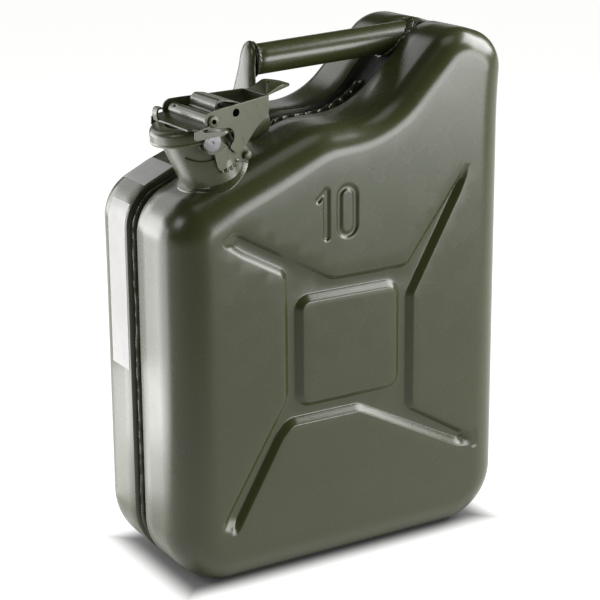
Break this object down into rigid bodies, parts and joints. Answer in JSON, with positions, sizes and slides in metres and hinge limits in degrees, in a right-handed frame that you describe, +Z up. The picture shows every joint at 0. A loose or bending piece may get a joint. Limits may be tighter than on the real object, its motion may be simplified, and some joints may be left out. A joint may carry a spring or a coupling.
{
  "type": "metal jerry can",
  "caption": "Upright pressed steel fuel can with a welded centre seam, tube carrying handle, offset leaning neck and a hinged cap locked by a cam lever.",
  "frame": {"origin": "middle of the footprint, on the surface the can stands on", "axes": "+Z up, +X along the can's width from the spout end towards the hump that carries the handle, +Y through the depth; the closure stands on the -Y half"},
  "size_m": [0.272, 0.13, 0.3781],
  "materials": {
    "olive_paint": "glossy olive green enamel",
    "olive_closure": "satin-gloss olive green enamel",
    "painted_weld": "olive green enamel over weld beads",
    "bright_zinc": "bright zinc plate",
    "black_rubber": "matt black rubber"
  },
  "bodies": {
    "can": {"shell_near": "olive_paint", "shell_far": "olive_paint", "seam_bead_main": "painted_weld", "seam_bead_saddle": "painted_weld", "handle_tube": "olive_paint", "handle_post": "olive_paint", "handle_weld_front": "painted_weld", "handle_weld_rear": "painted_weld", "neck": "olive_closure", "neck_weld": "painted_weld", "neck_ear_near": "olive_closure", "neck_ear_far": "olive_closure", "stud_near": "bright_zinc", "stud_far": "bright_zinc", "hinge_pin_near": "olive_closure", "hinge_pin_far": "olive_closure"},
    "cap": {"cap": "olive_closure", "cap_gasket": "black_rubber", "seal_retainer": "bright_zinc", "cap_bracket": "olive_closure"},
    "lever": {"lever": "olive_closure", "lever_rivet": "olive_closure"}
  },
  "joints": [
    {"name": "cap_hinge", "type": "hinge", "parent": "can", "child": "cap", "pos_m": [-0.0734, -0.031, 0.3045], "axis": [0, 1, 0], "range_deg": [0, 42]},
    {"name": "lever_hinge", "type": "hinge", "parent": "cap", "child": "lever", "pos_m": [-0.104, -0.031, 0.332], "axis": [0, -1, 0], "range_deg": [0, 126]}
  ],
  "couplings": [
    {"joint": "lever_hinge", "follows": "cap_hinge", "ratio": 3}
  ]
}
